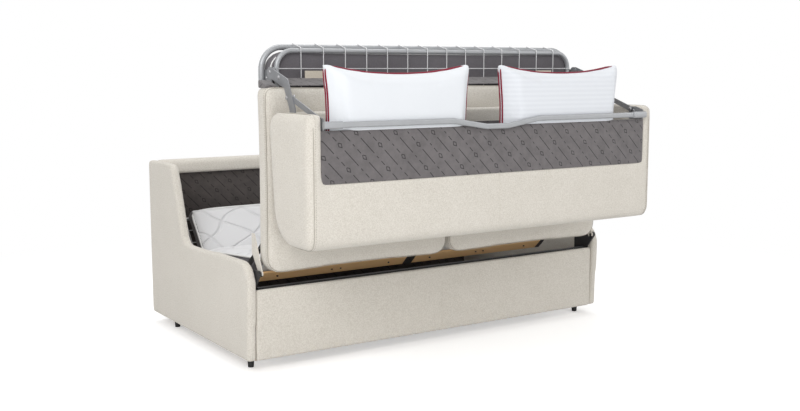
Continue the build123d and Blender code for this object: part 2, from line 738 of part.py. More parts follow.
def make_arm_links():
    """Bent plates that carry the back unit over, with the strut riveted to each."""
    half = arm_link_width / 2
    outline = Pos(swing_y, swing_z) * Circle(half)
    corners = [(swing_y, swing_z), (knee_y, knee_z), (elbow_y, elbow_z), (carry_y, carry_z)]
    for start, end in zip(corners, corners[1:]):
        outline += bar_between(start, end, half) + Pos(*end) * Circle(half)
    outline -= Pos(swing_y, swing_z) * Circle(pin_radius + running_gap)
    outline -= Pos(carry_y, carry_z) * Circle(pin_radius + running_gap)
    add_pair("swing_arm", at_x(outline, arm_link_x, arm_link_x + arm_link))
    strut_start = ((knee_y + elbow_y) / 2, (knee_z + elbow_z) / 2)
    strut = bar_between(strut_start, (strut_end_y, strut_end_z), strut_width / 2)
    strut += Pos(*strut_start) * Circle(strut_width / 2) + Pos(strut_end_y, strut_end_z) * Circle(strut_width / 2)
    keep_both("swing_struts", at_x(strut, arm_link_x - arm_link, arm_link_x))


def bar_between(start, end, half):
    """A flat bar in (Y, Z) between two points."""
    run_y, run_z = end[0] - start[0], end[1] - start[1]
    length = (run_y ** 2 + run_z ** 2) ** 0.5
    side_y, side_z = -run_z / length * half, run_y / length * half
    return make_face(Polyline(
        (start[0] + side_y, start[1] + side_z), (end[0] + side_y, end[1] + side_z),
        (end[0] - side_y, end[1] - side_z), (start[0] - side_y, start[1] - side_z), close=True))


def make_unit_brackets():
    plate = plate_with_ear(
        [(carry_y - fold_ear_radius, carry_z), (carry_y + fold_ear_radius, carry_z),
         (carry_y + fold_ear_radius, carry_z - 5 * fold_ear_radius),
         (carry_y - fold_ear_radius, carry_z - 5 * fold_ear_radius)],
        unit_inner_x - arm_link, (carry_y, carry_z), fold_ear_radius, arm_link, pin_radius / 2)
    plate += pin(arm_link_x - arm_link, unit_inner_x, carry_y, carry_z, pin_radius)
    keep_both("carry_brackets", plate)


def make_support_bar():
    """Flat-oval bar bowed in the middle, in a sleeve at each end, on two end brackets."""
    level = bar_left_z
    section = SlotOverall(bar_height, bar_thickness)
    run = bar_half_width - bar_sleeve_length / 2
    path = FilletPolyline(
        (-run, bar_y, level), (bar_bow_centre - 2 * bar_bow_half, bar_y, level),
        (bar_bow_centre - bar_bow_half / 2, bar_y, level - bar_bow),
        (bar_bow_centre + bar_bow_half / 2, bar_y, level - bar_bow),
        (bar_bow_centre + 2 * bar_bow_half, bar_y, level), (run, bar_y, level), radius=bar_bow_half / 2)
    profile = Plane((-run, bar_y, level), x_dir=(0, 0, 1), z_dir=(1, 0, 0)) * section
    nodes["support_bar"] = sweep(profile, path=path)
    sleeve = SlotOverall(bar_height + 2 * bar_sleeve_wall, bar_thickness + 2 * bar_sleeve_wall)
    hollow = SlotOverall(bar_height + running_gap, bar_thickness + running_gap)
    inner_end = bar_half_width - bar_sleeve_length
    flat = Plane((inner_end, bar_y, level), x_dir=(0, 0, 1), z_dir=(1, 0, 0))
    shell = extrude(flat * sleeve, amount=bar_sleeve_length)
    shell -= extrude(flat * hollow, amount=bar_sleeve_length / 2)
    keep_both("bar_sleeves", shell)
    corner = bar_thickness / 3
    plate = rounded_face([
        (unit_rear_y, level + bar_height, corner),
        (unit_rear_y + bracket_length / 2, level + bracket_rise, 2 * corner),
        (unit_rear_y + bracket_length, level + bracket_rise, 2 * corner),
        (unit_rear_y + bracket_length, level - bar_height, corner),
        (unit_rear_y + bracket_length / 3, pocket_high_z, corner), (unit_rear_y, pocket_high_z, corner)])
    plate = at_x(plate, unit_inner_x - bracket_thickness, unit_inner_x)
    keep_both("bar_brackets", plate)


def make_pillow(centre_x):
    """A pillow: pointed soft corners, thick in the middle."""
    half = pillow_width / 2
    low, high, side = pillow_low_z, pillow_high_z, pillow_side_z
    mid_z = (low + high) / 2
    dip = high - side
    sections = []
    for depth_share, size_share in ((-1, 0.8), (-0.55, 0.93), (0, 1), (0.55, 0.93), (1, 0.8)):
        w, h = half * size_share, (high - low) / 2 * size_share
        d = dip * size_share
        outline = make_face([
            ThreePointArc((-w, -h), (0, -h + d), (w, -h)), ThreePointArc((w, -h), (w - d / 2, 0), (w, h)),
            ThreePointArc((w, h), (0, h - d), (-w, h)), ThreePointArc((-w, h), (-w + d / 2, 0), (-w, -h))])
        place = Plane((centre_x, pillow_centre_y + depth_share * pillow_thickness / 2, mid_z),
                      x_dir=(1, 0, 0), z_dir=(0, -1, 0))
        sections.append(place * outline)
    return loft(sections, ruled=True)


make_base()
make_cross_tube()
make_corner_bracket()
make_head_bracket()
make_seat_cushions()
make_seat_frame()
make_seat_hinges()
make_foot_mattress()
make_middle()
make_head()
make_unit()
make_arm_links()
make_unit_brackets()
make_support_bar()
nodes["pillow_left"] = make_pillow(pillow_left_x)
nodes["pillow_right"] = make_pillow(pillow_right_x)

os.makedirs("parts", exist_ok=True)
centred = Pos(0, -centre_y, 0)
for name, shape in nodes.items():
    export_step(centred * shape, "parts/" + name + ".step")
print(len(nodes), "nodes; front to centre", round(centre_y, 2))
print("head pivot", [round(value, 2) for value in head_pivot()])
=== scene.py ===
# %% [markdown]
# A sofa bed, caught half way between sofa and bed. The seat stands on its front edge, the back is folded
# against it with two pillows in its pocket, and the mattress waits in the base. The hard parts come from a
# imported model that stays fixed. This notebook dresses them: it gives the cloth, foam, metal and wood their
# finish, and it makes the soft pieces again, because foam and down need curves that a solid model lacks.

# %% Load the frame
import math
from functools import partial

import bmesh
import bpy
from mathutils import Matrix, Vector


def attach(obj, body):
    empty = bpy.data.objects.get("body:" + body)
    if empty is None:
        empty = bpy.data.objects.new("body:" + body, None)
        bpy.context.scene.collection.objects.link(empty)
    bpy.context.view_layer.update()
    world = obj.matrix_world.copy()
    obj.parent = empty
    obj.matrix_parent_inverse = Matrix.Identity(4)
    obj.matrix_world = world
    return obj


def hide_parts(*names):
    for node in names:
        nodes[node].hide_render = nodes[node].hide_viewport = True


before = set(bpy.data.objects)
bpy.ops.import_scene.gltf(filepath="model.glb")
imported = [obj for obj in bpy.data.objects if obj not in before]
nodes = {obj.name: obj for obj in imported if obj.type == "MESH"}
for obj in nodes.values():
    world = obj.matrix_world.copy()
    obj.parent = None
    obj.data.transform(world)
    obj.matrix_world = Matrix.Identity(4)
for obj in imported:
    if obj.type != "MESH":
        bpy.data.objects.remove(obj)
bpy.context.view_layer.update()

# %% [markdown]
# Sizes are in metres. The model puts its origin under the middle of the sofa bed, while most places are
# easier to name from the front edge of the arms, so one shift turns one into the other.

# %% Shared places
FRONT = -0.331
UNIT_INNER_X = 0.822
UNIT_SEAM_X = 0.862
FORWARD, REARWARD, SIDEWAYS = Vector((0, -1, 0)), Vector((0, 1, 0)), Vector((1, 0, 0))


def place(x, y, z):
    """A point measured from the front edge of the arms."""
    return Vector((x, y + FRONT, z))


def add_object(name, data):
    """An object for some data, linked to the scene."""
    thing = bpy.data.objects.new(name, data)
    bpy.context.scene.collection.objects.link(thing)
    return thing


print("front edge of the arms at y =", FRONT)

# %% [markdown]
# The camera repeats the photographer's place: to the left of the sofa bed, a little above its top, with a
# lens a bit longer than normal so that the long front doesn't flare. Its focal length is known in pixels of
# the photograph, and the sensor's width turns that into millimetres.

# %% Camera
PHOTO_WIDTH = 800
FOCAL_PIXELS = 1035.95
SENSOR_WIDTH = 36.0


def set_camera(location, yaw, pitch):
    data = bpy.data.cameras.new("camera")
    data.sensor_width = SENSOR_WIDTH
    data.lens = FOCAL_PIXELS / PHOTO_WIDTH * SENSOR_WIDTH
    camera = add_object("camera", data)
    camera.location = location
    camera.rotation_euler = (math.pi / 2 - math.radians(pitch), 0.0, -math.radians(yaw))
    bpy.context.scene.camera = camera
    return camera


camera = set_camera(place(-2.6672, -3.6865, 1.2163), yaw=33.54, pitch=7.56)
print("camera at", tuple(round(v, 3) for v in camera.location))

# %% [markdown]
# Materials are trees of nodes. A few helpers keep them short: one for sums, one for mixed colours, one for
# noise, and one that sets the plain values of a node by name.

# %% Node helpers
def set_values(node, **values):
    """Set a node's plain inputs by name, with _ for a space."""
    for label, value in values.items():
        node.inputs[label.replace("_", " ")].default_value = value
    return node


def math_node(tree, operation, *values):
    """A Math node fed by sockets or plain numbers; returns its output."""
    node = tree.nodes.new("ShaderNodeMath")
    node.operation = operation
    for socket, value in zip(node.inputs, values):
        if isinstance(value, (int, float)):
            socket.default_value = value
        else:
            tree.links.new(value, socket)
    return node.outputs[0]


def mix_colours(tree, factor, first, second):
    """A colour Mix node; returns its result socket."""
    node = tree.nodes.new("ShaderNodeMix")
    node.data_type = "RGBA"
    for socket, value in ((node.inputs[0], factor), (node.inputs[6], first), (node.inputs[7], second)):
        if isinstance(value, (int, float)):
            socket.default_value = value
        elif isinstance(value, tuple):
            socket.default_value = (*value, 1.0)
        else:
            tree.links.new(value, socket)
    return node.outputs[2]


def mix_shaders(tree, factor, first, second):
    """A Mix Shader node; returns its output."""
    node = tree.nodes.new("ShaderNodeMixShader")
    for socket, value in zip(node.inputs, (factor, first, second)):
        tree.links.new(value, socket)
    return node.outputs[0]


def noise(tree, vector, scale, detail=3.0, roughness=0.5):
    node = set_values(tree.nodes.new("ShaderNodeTexNoise"), Detail=detail, Roughness=roughness)
    if isinstance(scale, (int, float)):
        node.inputs["Scale"].default_value = scale
    else:
        tree.links.new(scale, node.inputs["Scale"])
    tree.links.new(vector, node.inputs["Vector"])
    return node.outputs["Fac"]


def spread_range(tree, value, low, high, smooth=False):
    """Stretch a value so that low becomes 0 and high becomes 1, and cut off what lies outside."""
    node = set_values(tree.nodes.new("ShaderNodeMapRange"), From_Min=low, From_Max=high)
    if smooth:
        node.interpolation_type = "SMOOTHSTEP"
    tree.links.new(value, node.inputs["Value"])
    return node.outputs[0]


def object_coords(tree):
    return tree.nodes.new("ShaderNodeTexCoord").outputs["Object"]


def coordinate_parts(tree):
    """The X, Y and Z of the object coordinates."""
    parts = tree.nodes.new("ShaderNodeSeparateXYZ")
    tree.links.new(object_coords(tree), parts.inputs[0])
    return parts.outputs["X"], parts.outputs["Y"], parts.outputs["Z"]


print("node helpers ready")

# %% [markdown]
# Product photographs of furniture use big soft lamps and a white sweep. Here a broad key lamp stands on the
# left, a low one lights the front from near the floor, a weaker one fills the right side, and the last lifts
# the top edges. The white behind the sofa bed is the colour of the world as the camera sees it, so no lamp
# has to overexpose it.

# %% Lamps and world
WHITE = (1.0, 1.0, 1.0, 1.0)
WARM_WHITE = (1.0, 0.99, 0.975, 1.0)


def add_lamp(name, location, target, size, power):
    data = bpy.data.lights.new(name, "AREA")
    data.shape = "RECTANGLE"
    data.size, data.size_y = size
    data.energy = power
    lamp = add_object(name, data)
    lamp.location = location
    lamp.rotation_euler = (Vector(target) - Vector(location)).to_track_quat("-Z", "Y").to_euler()
    return lamp


def set_world(strength):
    """Warm light for the object, plain white for the camera and for reflections."""
    world = bpy.data.worlds.new("studio")
    bpy.context.scene.world = world
    world.use_nodes = True
    tree = world.node_tree
    tree.nodes.clear()
    path = tree.nodes.new("ShaderNodeLightPath")
    lit = set_values(tree.nodes.new("ShaderNodeBackground"), Color=WARM_WHITE, Strength=strength)
    seen = set_values(tree.nodes.new("ShaderNodeBackground"), Color=WHITE, Strength=1.0)
    either = math_node(tree, "MAXIMUM", path.outputs["Is Camera Ray"], path.outputs["Is Glossy Ray"])
    out = tree.nodes.new("ShaderNodeOutputWorld")
    tree.links.new(mix_shaders(tree, either, lit.outputs[0], seen.outputs[0]), out.inputs[0])


set_world(0.55)
lamps = [
    add_lamp("key", (-4.0, -3.0, 3.3), (0, -0.2, 0.6), (3.2, 2.4), 132),
    add_lamp("low", (-0.8, -4.2, 0.55), (0, 0, 0.36), (3.0, 0.9), 26),
    add_lamp("fill", (4.2, -3.2, 2.2), (0, 0, 0.6), (3.0, 2.4), 42),
    add_lamp("top", (0.3, 1.2, 4.2), (0, 0, 0.8), (4.0, 3.0), 70),
]
bpy.context.scene.view_settings.view_transform = "Standard"
print("lamps:", [lamp.name for lamp in lamps])

# %% [markdown]
# The floor takes shadows near the sofa bed, where a little glow lifts it to white. Further out it fades into
# plain white for the camera, so that no horizon shows.

# %% Floor
def floor_material(near=1.35, far=3.2, grey=0.82, glow_strength=0.42):
    material = bpy.data.materials.new("white_floor")
    material.use_nodes = True
    tree = material.node_tree
    tree.nodes.clear()
    path = tree.nodes.new("ShaderNodeLightPath")
    matte = set_values(tree.nodes.new("ShaderNodeBsdfDiffuse"), Color=(grey, grey, grey, 1.0))
    glow = set_values(tree.nodes.new("ShaderNodeEmission"), Strength=glow_strength)
    plain = set_values(tree.nodes.new("ShaderNodeEmission"), Strength=1.0)
    both = tree.nodes.new("ShaderNodeAddShader")
    tree.links.new(matte.outputs[0], both.inputs[0])
    tree.links.new(glow.outputs[0], both.inputs[1])
    distance = tree.nodes.new("ShaderNodeVectorMath")
    distance.operation = "LENGTH"
    tree.links.new(object_coords(tree), distance.inputs[0])
    fade = spread_range(tree, distance.outputs["Value"], near, far, smooth=True)
    seen = mix_shaders(tree, fade, both.outputs[0], plain.outputs[0])
    out = tree.nodes.new("ShaderNodeOutputMaterial")
    tree.links.new(mix_shaders(tree, path.outputs["Is Camera Ray"], matte.outputs[0], seen), out.inputs[0])
    return material


def add_floor(half):
    mesh = bpy.data.meshes.new("floor")
    corners = [(-half, -half, 0), (half, -half, 0), (half, half, 0), (-half, half, 0)]
    mesh.from_pydata(corners, [], [(0, 1, 2, 3)])
    floor = add_object("floor", mesh)
    floor.data.materials.append(floor_material())
    return floor


print("floor of", add_floor(60.0).dimensions.x, "m")

# %% [markdown]
# Every finish here is built from a few shared effects. Each effect is a node group with named inputs, so the
# same weave serves the cover, the lining and the mattress with its own thread width and strength.

# %% Groups and materials
def new_group(name, inputs, outputs):
    """An empty shader group; returns it with its input and output nodes."""
    group = bpy.data.node_groups.new(name, "ShaderNodeTree")
    for label, kind, value in inputs:
        socket = group.interface.new_socket(label, in_out="INPUT", socket_type=kind)
        socket.default_value = value
    for label, kind in outputs:
        group.interface.new_socket(label, in_out="OUTPUT", socket_type=kind)
    return group, group.nodes.new("NodeGroupInput"), group.nodes.new("NodeGroupOutput")


def place_group(tree, group, **values):
    """A node that runs a group, with colours given as three numbers."""
    node = tree.nodes.new("ShaderNodeGroup")
    node.node_tree = group
    return set_values(node, **{
        label: (*value, 1.0) if isinstance(value, tuple) else value for label, value in values.items()})


def new_material(name, roughness, **values):
    """A material with its Principled shader; returns the material, its tree and the shader."""
    material = bpy.data.materials.new(name)
    material.use_nodes = True
    tree = material.node_tree
    shader = set_values(tree.nodes["Principled BSDF"], Roughness=roughness, **values)
    return material, tree, shader


def add_bump(tree, shader, height, strength, distance):
    bump = set_values(tree.nodes.new("ShaderNodeBump"), Strength=strength, Distance=distance)
    tree.links.new(height, bump.inputs["Height"])
    tree.links.new(bump.outputs["Normal"], shader.inputs["Normal"])


print("material helpers ready")

# %% [markdown]
# Boucle and linen look alike from two metres: slubs of thread of uneven width that catch light on top and
# hold shade between. Coordinates bent by noise feed a cell pattern, which gives the slubs, and a finer noise,
# which breaks them up. The group hands out a height for the bump and a mask for the colour of the threads.

# %% Weave group
def build_weave(bend_scale=38.0, bend_reach=0.006, finer=0.55):
    group, source, sink = new_group(
        "weave",
        [("Threads per metre", "NodeSocketFloat", 420.0), ("Slub", "NodeSocketFloat", 0.5)],
        [("Height", "NodeSocketFloat"), ("Thread mask", "NodeSocketFloat")])
    step = partial(math_node, group)
    coords = object_coords(group)
    bend = set_values(group.nodes.new("ShaderNodeTexNoise"), Scale=bend_scale)
    group.links.new(coords, bend.inputs["Vector"])
    bent = group.nodes.new("ShaderNodeVectorMath")
    bent.operation = "MULTIPLY_ADD"
    bent.inputs[1].default_value = (bend_reach, bend_reach, bend_reach)
    group.links.new(bend.outputs["Color"], bent.inputs[0])
    group.links.new(coords, bent.inputs[2])
    cells = set_values(group.nodes.new("ShaderNodeTexVoronoi"), Randomness=0.9)
    group.links.new(bent.outputs[0], cells.inputs["Vector"])
    group.links.new(source.outputs["Threads per metre"], cells.inputs["Scale"])
    fine = noise(group, bent.outputs[0], step("MULTIPLY", source.outputs["Threads per metre"], finer), 4.0, 0.6)
    bumps = step("SUBTRACT", 1.0, cells.outputs["Distance"])
    slubs = step("MULTIPLY", fine, source.outputs["Slub"])
    group.links.new(step("ADD", bumps, slubs), sink.inputs["Height"])
    group.links.new(spread_range(group, fine, 0.38, 0.62), sink.inputs["Thread mask"])
    return group


weave = build_weave()
print("group:", weave.name)

# %% [markdown]
# Nothing soft is one even colour. Blotches of a few centimetres stand for pile that lies one way or the
# other, and for the way cloth is handled in use.

# %% Blotch group
def build_blotches():
    group, source, sink = new_group(
        "blotches",
        [("Base", "NodeSocketColor", (0.5, 0.5, 0.5, 1)), ("Darker", "NodeSocketColor", (0.4, 0.4, 0.4, 1)),
         ("Size", "NodeSocketFloat", 9.0), ("Strength", "NodeSocketFloat", 0.5)],
        [("Color", "NodeSocketColor")])
    wide = noise(group, object_coords(group), source.outputs["Size"], 4.0, 0.62)
    amount = math_node(group, "MULTIPLY", spread_range(group, wide, 0.35, 0.68), source.outputs["Strength"])
    colour = mix_colours(group, amount, source.outputs["Base"], source.outputs["Darker"])
    group.links.new(colour, sink.inputs["Color"])
    return group


blotches = build_blotches()
print("group:", blotches.name)

# %% [markdown]
# The cover is an oatmeal chenille of mixed cream and sand yarns. Its specks show from close by, and from
# further off it reads as one warm pale colour with a soft sheen along curved edges. The same recipe, with
# finer threads, makes seam thread, webbing, piping and the charcoal band of the mattress.

# %% Cover cloth
def cloth_material(name, base, darker, thread, threads, bump, sheen):
    material, tree, shader = new_material(
        name, 0.92, Sheen_Weight=sheen, Sheen_Roughness=0.5, Specular_IOR_Level=0.25)
    patches = place_group(tree, blotches, Base=base, Darker=darker, Size=7.0, Strength=0.5)
    cloth = place_group(tree, weave, Threads_per_metre=threads, Slub=0.7)
    speck = math_node(tree, "MULTIPLY", cloth.outputs["Thread mask"], 0.66)
    colour = mix_colours(tree, speck, patches.outputs["Color"], thread)
    tree.links.new(colour, shader.inputs["Base Color"])
    add_bump(tree, shader, cloth.outputs["Height"], bump, 0.0012)
    return material


cover = cloth_material(
    "cover_chenille", base=(0.605, 0.568, 0.508), darker=(0.540, 0.505, 0.442), thread=(0.77, 0.74, 0.68),
    threads=430.0, bump=0.8, sheen=0.25)
seam_thread = cloth_material(
    "seam_thread", base=(0.40, 0.37, 0.32), darker=(0.34, 0.31, 0.27), thread=(0.46, 0.43, 0.38),
    threads=900.0, bump=0.3, sheen=0.1)
tape_cloth = cloth_material(
    "beige_webbing", base=(0.60, 0.54, 0.45), darker=(0.52, 0.46, 0.38), thread=(0.68, 0.62, 0.53),
    threads=700.0, bump=0.35, sheen=0.1)
band_cloth = cloth_material(
    "charcoal_band", base=(0.130, 0.122, 0.133), darker=(0.100, 0.094, 0.103), thread=(0.165, 0.155, 0.168),
    threads=700.0, bump=0.3, sheen=0.15)
white_piping = cloth_material(
    "white_piping", base=(0.78, 0.78, 0.77), darker=(0.70, 0.70, 0.69), thread=(0.84, 0.84, 0.83),
    threads=900.0, bump=0.3, sheen=0.1)
maroon_piping = cloth_material(
    "maroon_piping", base=(0.20, 0.012, 0.030), darker=(0.13, 0.008, 0.02), thread=(0.30, 0.03, 0.06),
    threads=900.0, bump=0.3, sheen=0.1)
print("cover:", cover.name)

# %% [markdown]
# The grey lining is a brushed, suede-like cloth with a plain print: thin dark slanted lines, broken into long
# and short dashes, with a small open diamond in each repeat. Lines and dashes are found with fractions of two
# slanted coordinates, so the print keeps one size on every panel. A far offset keeps them above zero.

# %% Lining print
FAR = 10.0
LINE_SPACING, PRINT_REPEAT, LINE_STAGGER, DEPTH_SHARE = 0.040, 0.200, 0.455, 0.6
DASHES = ((0.20, 0.62), (0.70, 0.76), (0.84, 0.95))
DIAMOND_AT, DIAMOND_SLIMNESS, DIAMOND_RING = 0.06, 0.6, (0.0056, 0.0094)


def between(tree, value, low, high):
    """1 where the value lies between two numbers, else 0."""
    above, below = math_node(tree, "GREATER_THAN", value, low), math_node(tree, "LESS_THAN", value, high)
    return math_node(tree, "MULTIPLY", above, below)


def build_print():
    """Mask of the lining's print, from object coordinates."""
    group, source, sink = new_group(
        "slanted_print", [("Line half width", "NodeSocketFloat", 0.0017)], [("Mask", "NodeSocketFloat")])
    step = partial(math_node, group)
    x, y, z = coordinate_parts(group)
    up = step("ADD", z, step("MULTIPLY", y, DEPTH_SHARE))
    slant = step("MULTIPLY", step("ADD", x, up), math.sqrt(0.5))
    along = step("MULTIPLY", step("SUBTRACT", x, up), math.sqrt(0.5))
    lines = step("DIVIDE", step("ADD", slant, FAR), LINE_SPACING)
    off_line = step("ABSOLUTE", step("MULTIPLY", step("SUBTRACT", step("FRACT", lines), 0.5), LINE_SPACING))
    shift = step("MULTIPLY", step("FLOOR", lines), LINE_STAGGER)
    turn = step("FRACT", step("ADD", step("DIVIDE", step("ADD", along, 2 * FAR), PRINT_REPEAT), shift))
    on_line = step("LESS_THAN", off_line, source.outputs["Line half width"])
    dashes = between(group, turn, *DASHES[0])
    for ends in DASHES[1:]:
        dashes = step("MAXIMUM", dashes, between(group, turn, *ends))
    from_centre = step("ABSOLUTE", step("MULTIPLY", step("SUBTRACT", turn, DIAMOND_AT), PRINT_REPEAT))
    ring = step("ADD", step("MULTIPLY", from_centre, DIAMOND_SLIMNESS), off_line)
    mask = step("MAXIMUM", step("MULTIPLY", on_line, dashes), between(group, ring, *DIAMOND_RING))
    group.links.new(mask, sink.inputs["Mask"])
    return group


slanted_print = build_print()
print("group:", slanted_print.name)

# %% [markdown]
# The print is a little worn: where the cloth's threads stand up, less of the ink shows. The lining inside the
# base is a darker copy of the same cloth, whose darker colour is painted shade for the shade inside the base.

# %% Lining cloth
def lining_material(name, base, darker, ink):
    material, tree, shader = new_material(name, 0.95, Sheen_Weight=0.35, Specular_IOR_Level=0.2)
    step = partial(math_node, tree)
    printed = place_group(tree, slanted_print)
    patches = place_group(tree, blotches, Base=base, Darker=darker, Size=24.0, Strength=0.75)
    cloth = place_group(tree, weave, Threads_per_metre=900.0, Slub=0.9)
    wear = step("ADD", 0.70, step("MULTIPLY", cloth.outputs["Thread mask"], 0.3))
    worn = step("MULTIPLY", printed.outputs["Mask"], wear)
    tree.links.new(mix_colours(tree, worn, patches.outputs["Color"], ink), shader.inputs["Base Color"])
    add_bump(tree, shader, cloth.outputs["Height"], 0.25, 0.0006)
    return material


lining = lining_material(
    "grey_lining", base=(0.158, 0.146, 0.149), darker=(0.110, 0.102, 0.104), ink=(0.020, 0.018, 0.020))
# A darker copy of the lining: painted shade for the inside of the base.
shaded_base_lining = lining_material(
    "grey_lining_of_base", base=(0.084, 0.073, 0.069), darker=(0.056, 0.049, 0.047), ink=(0.016, 0.014, 0.014))
print("linings:", lining.name, shaded_base_lining.name)

# %% [markdown]
# The mattress ticking is a white knit, quilted in large wavy diamonds. The seams press grooves into the
# filling, so they are a height as much as a line. The colour also darkens towards each seam across the width
# of its groove: the seam line, widened into painted shade in the groove.

# %% Mattress ticking
def quilt_height(tree, across, along, cell, wave, groove=0.075):
    """Height of quilting whose seams run as two crossed families of wavy lines."""
    step = partial(math_node, tree)
    bend = step("MULTIPLY", step("SINE", step("MULTIPLY", along, wave)), cell * 0.10)
    heights = []
    for value in (step("ADD", across, along), step("SUBTRACT", across, along)):
        part = step("FRACT", step("DIVIDE", step("ADD", value, bend), cell))
        near = step("SUBTRACT", 0.5, step("ABSOLUTE", step("SUBTRACT", part, 0.5)))
        heights.append(spread_range(tree, near, 0.0, groove, smooth=True))
    return step("MINIMUM", *heights)


def ticking_material():
    material, tree, shader = new_material("quilted_ticking", 0.8, Sheen_Weight=0.2)
    step = partial(math_node, tree)
    x, y, z = coordinate_parts(tree)
    along = step("ADD", y, step("MULTIPLY", z, 0.9))
    quilt = quilt_height(tree, step("ADD", x, FAR), along, cell=0.22, wave=26.0)
    cloth = place_group(tree, weave, Threads_per_metre=800.0, Slub=0.5)
    # Darker towards each seam across its groove: the seam line and painted shade in the groove.
    seam = step("MULTIPLY", step("SUBTRACT", 1.0, quilt), 0.16)
    colour = mix_colours(tree, seam, (0.70, 0.70, 0.71), (0.50, 0.50, 0.52))
    tree.links.new(colour, shader.inputs["Base Color"])
    height = step("ADD", quilt, step("MULTIPLY", cloth.outputs["Height"], 0.04))
    add_bump(tree, shader, height, 0.6, 0.008)
    return material


ticking = ticking_material()
print("ticking:", ticking.name)

# %% [markdown]
# Pillow cotton is smoother than ticking and slightly blue. One pillow has woven satin stripes, which show
# mostly as a change of gloss.

# %% Pillow cottons
def stripe(tree, value, period, width):
    """1 inside a stripe of the given width that repeats every period, else 0."""
    part = math_node(tree, "FRACT", math_node(tree, "DIVIDE", value, period))
    return math_node(tree, "LESS_THAN", part, width / period)


def pillow_material(name, stripes):
    material, tree, shader = new_material(name, 0.7, Sheen_Weight=0.15)
    step = partial(math_node, tree)
    cloth = place_group(tree, weave, Threads_per_metre=1100.0, Slub=0.4)
    crease = noise(tree, object_coords(tree), 9.0, 5.0, 0.55)
    add_bump(tree, shader, step("ADD", crease, step("MULTIPLY", cloth.outputs["Height"], 0.03)), 0.35, 0.010)
    if stripes:
        _, _, z = coordinate_parts(tree)
        band = stripe(tree, step("ADD", z, FAR), period=0.019, width=0.0095)
        colour = mix_colours(tree, step("MULTIPLY", band, 0.5), (0.73, 0.755, 0.795), (0.66, 0.685, 0.73))
        gloss = step("SUBTRACT", 0.75, step("MULTIPLY", band, 0.25))
        tree.links.new(gloss, shader.inputs["Roughness"])
    else:
        colour = mix_colours(tree, step("MULTIPLY", crease, 0.2), (0.745, 0.770, 0.805), (0.63, 0.655, 0.69))
    tree.links.new(colour, shader.inputs["Base Color"])
    return material


pillow_plain = pillow_material("pillow_cotton", stripes=False)
pillow_striped = pillow_material("pillow_satin", stripes=True)
print("pillow cottons:", pillow_plain.name, pillow_striped.name)

# %% [markdown]
# The frame is steel tube and wire under a cool grey powder coat. Powder coat has a fine orange-peel surface,
# and it is duller in places where it was handled. The swing arms, their struts and the plates of the hoop and
# the bar take a darker copy of the grey, which is painted shade for the shade they stand in. The wires are a
# paler grey, and the hinges, the feet and the corner brackets are black.

# %% Metals and plastics
def coat_material(name, base, darker, roughness, metallic, grain, bump):
    material, tree, shader = new_material(name, roughness, Metallic=metallic)
    coords = object_coords(tree)
    patches = place_group(tree, blotches, Base=base, Darker=darker, Size=16.0, Strength=0.6)
    tree.links.new(patches.outputs["Color"], shader.inputs["Base Color"])
    handled = math_node(tree, "MULTIPLY", noise(tree, coords, 22.0), 0.16)
    tree.links.new(math_node(tree, "ADD", roughness - 0.08, handled), shader.inputs["Roughness"])
    add_bump(tree, shader, noise(tree, coords, grain, 3.0, 0.6), bump, 0.0004)
    return material


grey_coat = coat_material(
    "grey_powder_coat", base=(0.390, 0.400, 0.415), darker=(0.330, 0.340, 0.352),
    roughness=0.42, metallic=0.35, grain=900.0, bump=0.25)
# A darker copy of the grey coat: painted shade for the swing arms and their plates.
grey_coat_shaded_copy = coat_material(
    "darker_grey_coat", base=(0.270, 0.276, 0.290), darker=(0.220, 0.226, 0.238),
    roughness=0.40, metallic=0.4, grain=900.0, bump=0.25)
rivet_steel = coat_material(
    "rivet_steel", base=(0.45, 0.45, 0.46), darker=(0.36, 0.36, 0.37),
    roughness=0.32, metallic=0.8, grain=900.0, bump=0.1)
wire_coat = coat_material(
    "pale_wire_coat", base=(0.62, 0.62, 0.63), darker=(0.54, 0.54, 0.55),
    roughness=0.34, metallic=0.45, grain=900.0, bump=0.15)
black_coat = coat_material(
    "black_powder_coat", base=(0.018, 0.018, 0.020), darker=(0.010, 0.010, 0.011),
    roughness=0.42, metallic=0.2, grain=700.0, bump=0.3)
black_plastic = coat_material(
    "black_plastic", base=(0.020, 0.020, 0.022), darker=(0.012, 0.012, 0.013),
    roughness=0.5, metallic=0.0, grain=1200.0, bump=0.35)
print("coats: grey, darker grey, rivet steel, pale wire, black, black plastic")

# %% [markdown]
# The slanted boards are plywood with a tan face, painted lighter than the wood's own tan: the extra brightness
# is painted light, for the light that the apron keeps off them. The hidden rails are sawn pine. Grain runs
# along X, so the noise is stretched many times in that direction.

# %% Wood
def wood_material(name, light, dark, stretch, scale, bump):
    material, tree, shader = new_material(name, 0.55)
    mapping = set_values(tree.nodes.new("ShaderNodeMapping"), Scale=(1.0 / stretch, 1.0, 1.0))
    tree.links.new(object_coords(tree), mapping.inputs["Vector"])
    grain = noise(tree, mapping.outputs[0], scale, 6.0, 0.65)
    rings = noise(tree, mapping.outputs[0], scale * 0.16, 3.0, 0.5)
    amount = math_node(tree, "MULTIPLY", math_node(tree, "ADD", grain, rings), 0.62)
    tree.links.new(mix_colours(tree, amount, light, dark), shader.inputs["Base Color"])
    add_bump(tree, shader, grain, bump, 0.0006)
    return material


# Plywood colours raised above the wood's own tan: painted light for the shaded boards.
plywood_painted_light = wood_material(
    "tan_plywood", light=(0.97, 0.65, 0.34), dark=(0.84, 0.52, 0.24), stretch=14.0, scale=130.0, bump=0.2)
pine = wood_material(
    "sawn_pine", light=(0.62, 0.45, 0.26), dark=(0.42, 0.28, 0.15), stretch=12.0, scale=90.0, bump=0.35)
print("materials:", len(bpy.data.materials))

# %% [markdown]
# The hard parts need no new shapes, so each keeps its solid and only gets its finish. One table says which
# parts take which finish, and all others are grey. The outer arm of each seat hinge lies under the seat's
# cover, so there the cloth shows, and only the inner arm is black.

